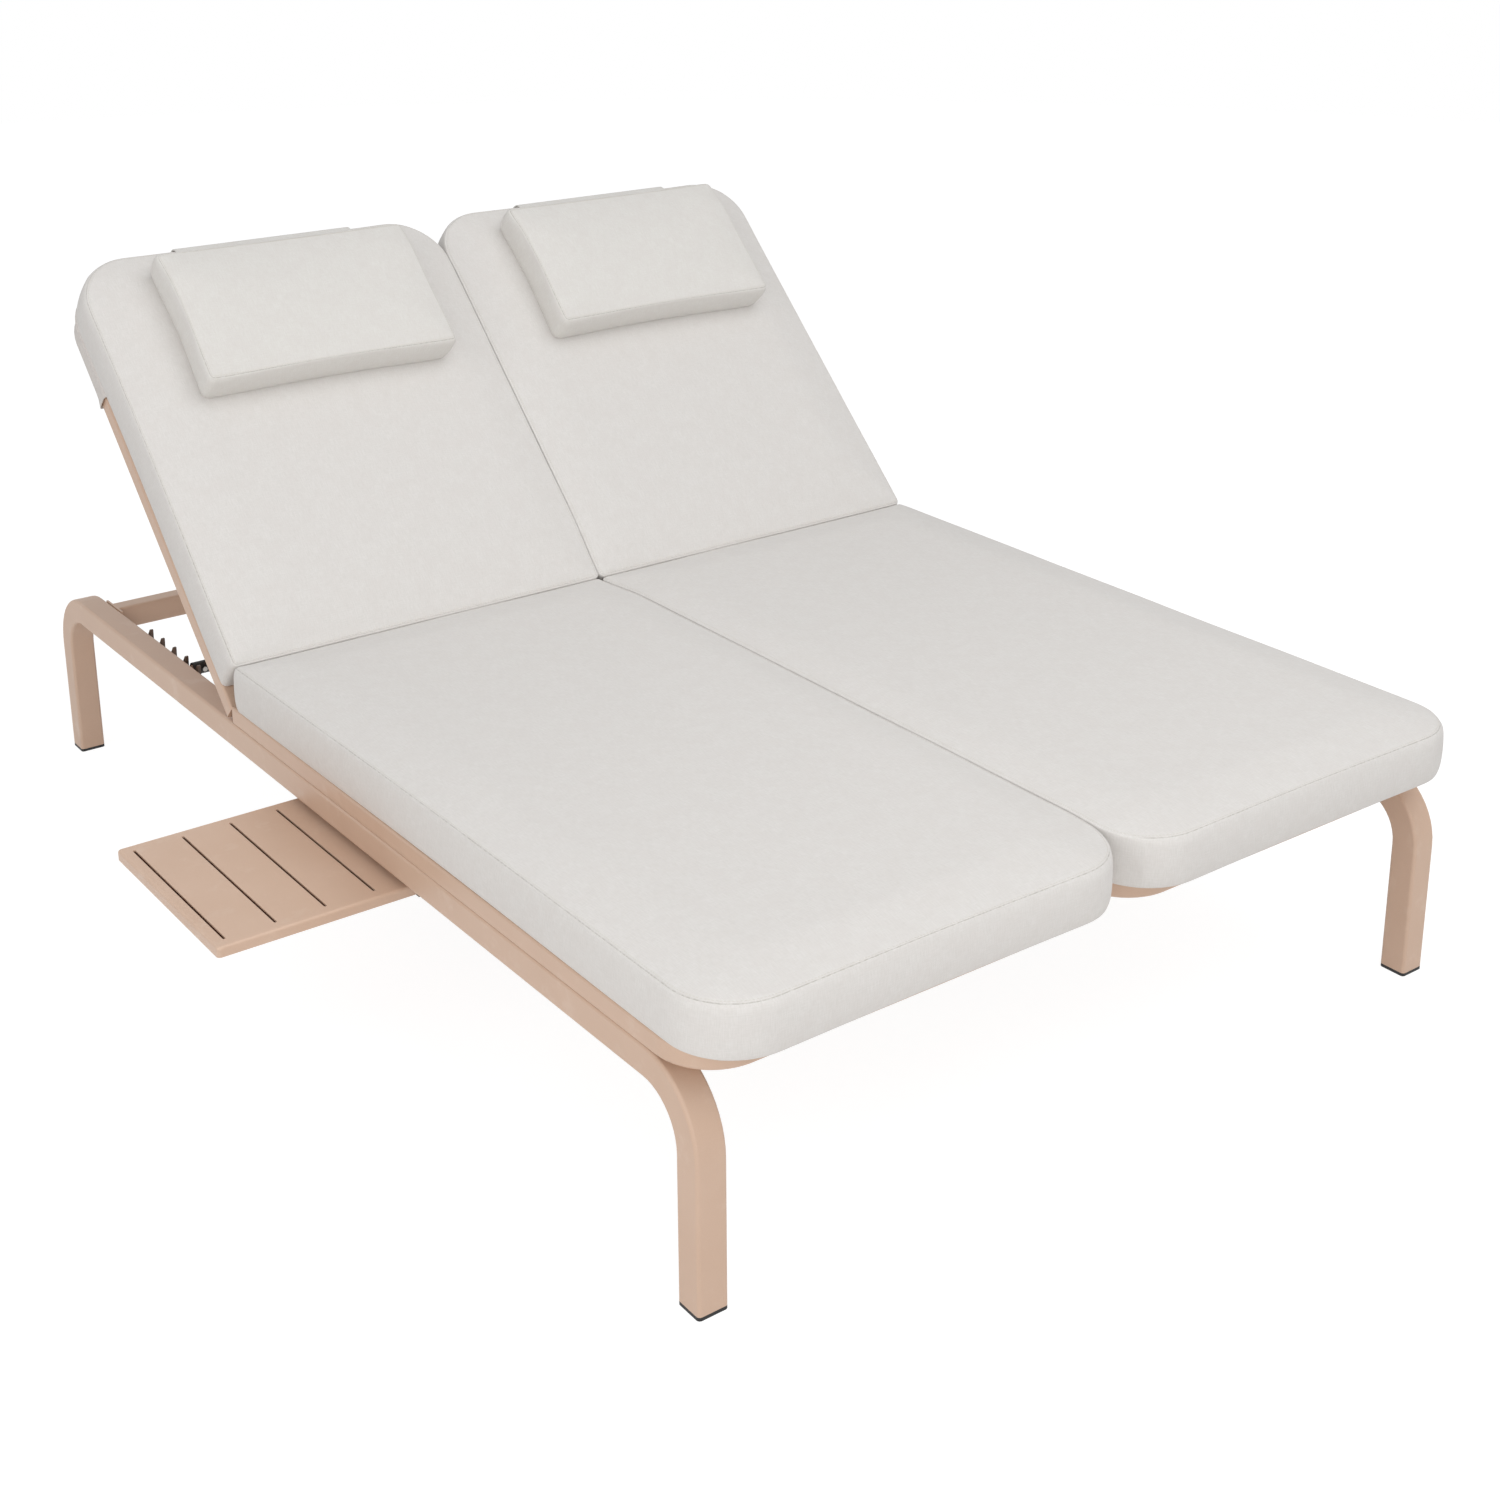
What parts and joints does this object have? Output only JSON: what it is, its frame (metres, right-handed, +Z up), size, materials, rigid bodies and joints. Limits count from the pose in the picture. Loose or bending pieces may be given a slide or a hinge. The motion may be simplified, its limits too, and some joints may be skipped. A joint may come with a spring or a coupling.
{
  "type": "double chaise lounger",
  "caption": "Double outdoor chaise lounger with bent tube frame, two tilting padded backrests propped by ratchet stays, head pillows and a sliding side tray.",
  "frame": {"origin": "on the floor, midway between the four feet", "axes": "+Z up, +Y from the foot end towards the backrests, +X to the right of someone lying on it, so the side tray comes out towards -X"},
  "size_m": [1.5878, 2.035, 0.961],
  "materials": {
    "frame": "fine matt powder coat in sand",
    "tray": "fine matt powder coat in sand",
    "rack": "dark brown matt coat",
    "black_plastic": "black, matt",
    "steel": "stainless fasteners",
    "cushion": "warm off-white linen weave",
    "pillow": "warm off-white linen weave",
    "hood": "warm off-white linen weave"
  },
  "bodies": {
    "base": {"foot_caps": "black_plastic", "crossbar_front": "frame", "crossbar_rear": "frame", "centre_beam": "frame", "frame_plates": "frame", "frame_bolts": "steel", "tray_runners": "rack", "side_frame_left": "frame", "side_frame_right": "frame", "seat_bars_left": "frame", "seat_bars_right": "frame", "seat_bow_left": "frame", "seat_bow_right": "frame", "seat_ends_left": "frame", "seat_ends_right": "frame", "seat_braces_left": "frame", "seat_braces_right": "frame", "seat_slats_left": "frame", "seat_slats_right": "frame", "seat_cushion_left": "cushion", "seat_cushion_right": "cushion", "hinge_ears_left": "frame", "hinge_ears_right": "frame", "hinge_pins_left": "steel", "hinge_pins_right": "steel", "racks_left": "rack", "racks_right": "rack"},
    "backrest_left": {"back_bars_left": "frame", "back_bow_left": "frame", "back_ends_left": "frame", "back_braces_left": "frame", "back_slats_left": "frame", "hinge_eyes_left": "frame", "stay_lugs_left": "frame", "stay_pins_left": "steel", "back_cushion_left": "cushion", "back_hood_left": "hood", "head_pillow_left": "pillow", "pillow_strap_left": "pillow"},
    "backrest_right": {"back_bars_right": "frame", "back_bow_right": "frame", "back_ends_right": "frame", "back_braces_right": "frame", "back_slats_right": "frame", "hinge_eyes_right": "frame", "stay_lugs_right": "frame", "stay_pins_right": "steel", "back_cushion_right": "cushion", "back_hood_right": "hood", "head_pillow_right": "pillow", "pillow_strap_right": "pillow"},
    "stay_left": {"stay_arms_left": "frame", "stay_rod_left": "frame", "stay_sleeves_left": "black_plastic", "stay_screws_left": "steel"},
    "stay_right": {"stay_arms_right": "frame", "stay_rod_right": "frame", "stay_sleeves_right": "black_plastic", "stay_screws_right": "steel"},
    "side_tray": {"side_tray": "tray"}
  },
  "joints": [
    {"name": "backrest_left_hinge", "type": "hinge", "parent": "base", "child": "backrest_left", "pos_m": [-0.332, 0.248, 0.329], "axis": [1, 0, 0], "range_deg": [-43.5, 3]},
    {"name": "backrest_right_hinge", "type": "hinge", "parent": "base", "child": "backrest_right", "pos_m": [0.332, 0.248, 0.329], "axis": [1, 0, 0], "range_deg": [-43.5, 3]},
    {"name": "stay_left_pivot", "type": "hinge", "parent": "backrest_left", "child": "stay_left", "pos_m": [-0.3175, 0.43524, 0.49355], "axis": [1, 0, 0], "range_deg": [-7.25, 104.3]},
    {"name": "stay_right_pivot", "type": "hinge", "parent": "backrest_right", "child": "stay_right", "pos_m": [0.3175, 0.43524, 0.49355], "axis": [1, 0, 0], "range_deg": [-7.25, 104.3]},
    {"name": "tray_slide", "type": "slide", "parent": "base", "child": "side_tray", "axis": [1, 0, 0], "range_m": [0, 0.265]}
  ],
  "couplings": [
    {"joint": "stay_left_pivot", "follows": "backrest_left_hinge", "ratio": -2.396},
    {"joint": "stay_right_pivot", "follows": "backrest_right_hinge", "ratio": -2.396}
  ]
}
